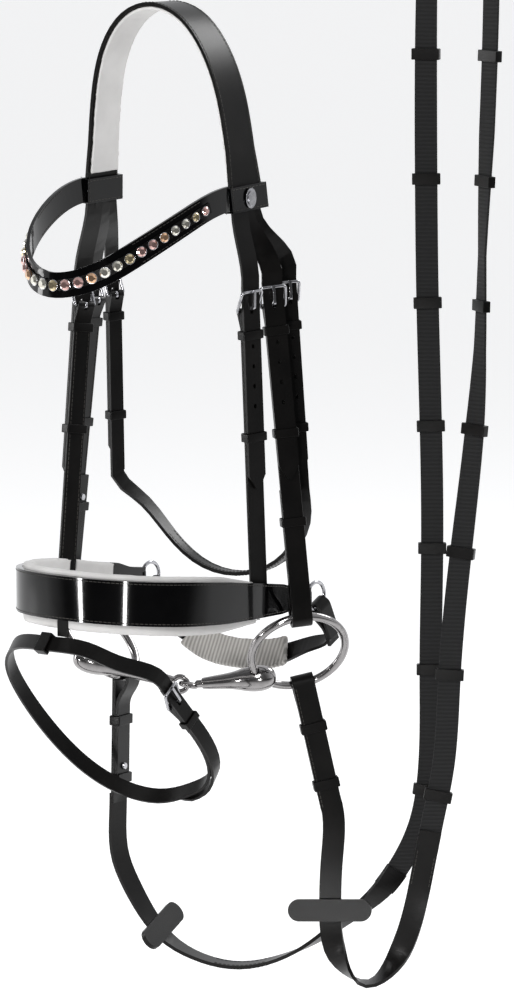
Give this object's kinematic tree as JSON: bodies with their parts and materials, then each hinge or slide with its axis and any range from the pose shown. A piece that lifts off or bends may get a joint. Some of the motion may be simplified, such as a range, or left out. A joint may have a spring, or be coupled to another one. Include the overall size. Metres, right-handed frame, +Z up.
{
  "type": "snaffle bridle",
  "caption": "Hanging snaffle bridle with crystal browband, padded patent flash noseband, loose ring jointed bit and reins with stops.",
  "frame": {"origin": "inner face of the crown lining at the top of the headpiece, where it rests on the poll or on a bridle hook", "axes": "+Z up, -Y towards the front of the horse, +X towards its near side"},
  "size_m": [0.3331, 0.3119, 0.8896],
  "materials": {
    "black_leather": "smooth",
    "patent_leather": "patent gloss",
    "white_leather": "soft matt",
    "padding": "soft matt",
    "crystal": "faceted",
    "steel": "polished",
    "bit_metal": "satin",
    "webbing": "ribbed",
    "mesh": "ribbed",
    "silver": "engraved"
  },
  "bodies": {
    "bridle": {"browband": "patent_leather", "browband_bosses": "silver", "browband_crystals": "crystal", "chin_pad": "mesh", "crank_strap": "black_leather", "far_cheek_buckle": "steel", "far_cheekpiece": "black_leather", "far_hanger": "black_leather", "far_hanger_buckle": "steel", "far_hook_studs": "steel", "far_keepers": "black_leather", "far_rein_hand_part": "black_leather", "far_rein_keepers": "black_leather", "far_rein_leather": "black_leather", "far_rein_stops": "black_leather", "far_rein_web": "webbing", "far_throat_buckle": "steel", "flash_buckle": "steel", "flash_keeper": "black_leather", "flash_loop": "black_leather", "flash_strap": "black_leather", "hand_buckle": "steel", "headpiece": "black_leather", "headpiece_lining": "white_leather", "near_cheek_buckle": "steel", "near_cheekpiece": "black_leather", "near_hanger": "black_leather", "near_hanger_buckle": "steel", "near_hook_studs": "steel", "near_keepers": "black_leather", "near_rein_hand_part": "black_leather", "near_rein_keepers": "black_leather", "near_rein_leather": "black_leather", "near_rein_stops": "black_leather", "near_rein_web": "webbing", "near_throat_buckle": "steel", "noseband": "patent_leather", "noseband_padding": "padding", "noseband_rings": "steel", "throatlatch": "black_leather"},
    "near_hanger_tongue": {"near_hanger_tongue": "steel"},
    "near_cheek_tongue": {"near_cheek_tongue": "steel"},
    "near_throat_tongue": {"near_throat_tongue": "steel"},
    "far_hanger_tongue": {"far_hanger_tongue": "steel"},
    "far_cheek_tongue": {"far_cheek_tongue": "steel"},
    "far_throat_tongue": {"far_throat_tongue": "steel"},
    "hand_tongue": {"hand_tongue": "steel"},
    "flash_tongue": {"flash_tongue": "steel"},
    "near_hanger_runner": {"near_hanger_runner": "black_leather"},
    "near_cheek_runner": {"near_cheek_runner": "black_leather"},
    "near_throat_runner": {"near_throat_runner": "black_leather"},
    "far_hanger_runner": {"far_hanger_runner": "black_leather"},
    "far_cheek_runner": {"far_cheek_runner": "black_leather"},
    "far_throat_runner": {"far_throat_runner": "black_leather"},
    "near_bit_ring": {"near_bit_ring": "bit_metal"},
    "near_mouthpiece": {"near_mouthpiece": "bit_metal"},
    "near_martingale_stop": {"near_martingale_stop": "black_leather"},
    "far_bit_ring": {"far_bit_ring": "bit_metal"},
    "far_mouthpiece": {"far_mouthpiece": "bit_metal"},
    "far_martingale_stop": {"far_martingale_stop": "black_leather"}
  },
  "joints": [
    {"name": "near_hanger_tongue_pivot", "type": "hinge", "parent": "bridle", "child": "near_hanger_tongue", "pos_m": [0.08128, 0.0059, -0.23585], "axis": [0.262, 0.9623, 0.0727], "range_deg": [0, 15]},
    {"name": "near_cheek_tongue_pivot", "type": "hinge", "parent": "bridle", "child": "near_cheek_tongue", "pos_m": [0.08705, 0.03148, -0.23405], "axis": [0.6392, 0.7635, 0.0924], "range_deg": [0, 15]},
    {"name": "near_throat_tongue_pivot", "type": "hinge", "parent": "bridle", "child": "near_throat_tongue", "pos_m": [0.08505, 0.05477, -0.23199], "axis": [0.6415, 0.764, 0.069], "range_deg": [0, 15]},
    {"name": "far_hanger_tongue_pivot", "type": "hinge", "parent": "bridle", "child": "far_hanger_tongue", "pos_m": [-0.08229, 0.0024, -0.24078], "axis": [-0.2648, -0.9565, 0.1225], "range_deg": [0, 15]},
    {"name": "far_cheek_tongue_pivot", "type": "hinge", "parent": "bridle", "child": "far_cheek_tongue", "pos_m": [-0.09018, 0.02738, -0.23927], "axis": [0.1046, -0.9921, 0.0691], "range_deg": [0, 15]},
    {"name": "far_throat_tongue_pivot", "type": "hinge", "parent": "bridle", "child": "far_throat_tongue", "pos_m": [-0.08833, 0.04885, -0.23618], "axis": [-0.3018, -0.9522, -0.0482], "range_deg": [0, 15]},
    {"name": "hand_tongue_pivot", "type": "hinge", "parent": "bridle", "child": "hand_tongue", "pos_m": [0.184, 0.147, 0.08815], "axis": [-0.615, 0.7885, 0], "range_deg": [0, 15]},
    {"name": "flash_tongue_pivot", "type": "hinge", "parent": "bridle", "child": "flash_tongue", "pos_m": [0.04819, -0.04556, -0.54535], "axis": [0.0312, 0.772, 0.6348], "range_deg": [0, 15]},
    {"name": "near_hanger_runner_slide", "type": "slide", "parent": "bridle", "child": "near_hanger_runner", "axis": [-0.0188, 0.0804, -0.9966], "range_m": [-0.065, 0.02]},
    {"name": "near_cheek_runner_slide", "type": "slide", "parent": "bridle", "child": "near_cheek_runner", "axis": [0.0699, 0.062, -0.9956], "range_m": [-0.065, 0.02]},
    {"name": "near_throat_runner_slide", "type": "slide", "parent": "bridle", "child": "near_throat_runner", "axis": [0.0425, 0.0545, -0.9976], "range_m": [-0.065, 0.02]},
    {"name": "far_hanger_runner_slide", "type": "slide", "parent": "bridle", "child": "far_hanger_runner", "axis": [0.0239, -0.1335, -0.9908], "range_m": [-0.065, 0.02]},
    {"name": "far_cheek_runner_slide", "type": "slide", "parent": "bridle", "child": "far_cheek_runner", "axis": [-0.0625, -0.0759, -0.9952], "range_m": [-0.065, 0.02]},
    {"name": "far_throat_runner_slide", "type": "slide", "parent": "bridle", "child": "far_throat_runner", "axis": [-0.03, 0.06, -0.9977], "range_m": [-0.065, 0.02]},
    {"name": "near_bit_ring_turn", "type": "hinge", "parent": "bridle", "child": "near_bit_ring", "pos_m": [0.08606, 0.06625, -0.51453], "axis": [-0.6611, 0.4841, 0.5733], "continuous": true},
    {"name": "near_mouthpiece_fold", "type": "hinge", "parent": "bridle", "child": "near_mouthpiece", "pos_m": [0.05741, 0.05481, -0.5379], "axis": [0.1228, 0.8235, -0.5538], "range_deg": [-2, 0]},
    {"name": "near_martingale_stop_slide", "type": "slide", "parent": "bridle", "child": "near_martingale_stop", "axis": [0.0895, -0.1054, -0.9904], "range_m": [-0.002, 0.002]},
    {"name": "far_bit_ring_turn", "type": "hinge", "parent": "bridle", "child": "far_bit_ring", "pos_m": [-0.07496, 0.00989, -0.51363], "axis": [0.723, 0.1235, 0.6797], "continuous": true},
    {"name": "far_mouthpiece_fold", "type": "hinge", "parent": "bridle", "child": "far_mouthpiece", "pos_m": [-0.05898, -0.02363, -0.52454], "axis": [-0.5539, -0.4844, 0.6772], "range_deg": [-2, 0]},
    {"name": "far_martingale_stop_slide", "type": "slide", "parent": "bridle", "child": "far_martingale_stop", "axis": [0.5449, 0.3466, -0.7635], "range_m": [-0.002, 0.002]}
  ],
  "couplings": [
    {"joint": "far_mouthpiece_fold", "follows": "near_mouthpiece_fold", "ratio": 1}
  ]
}
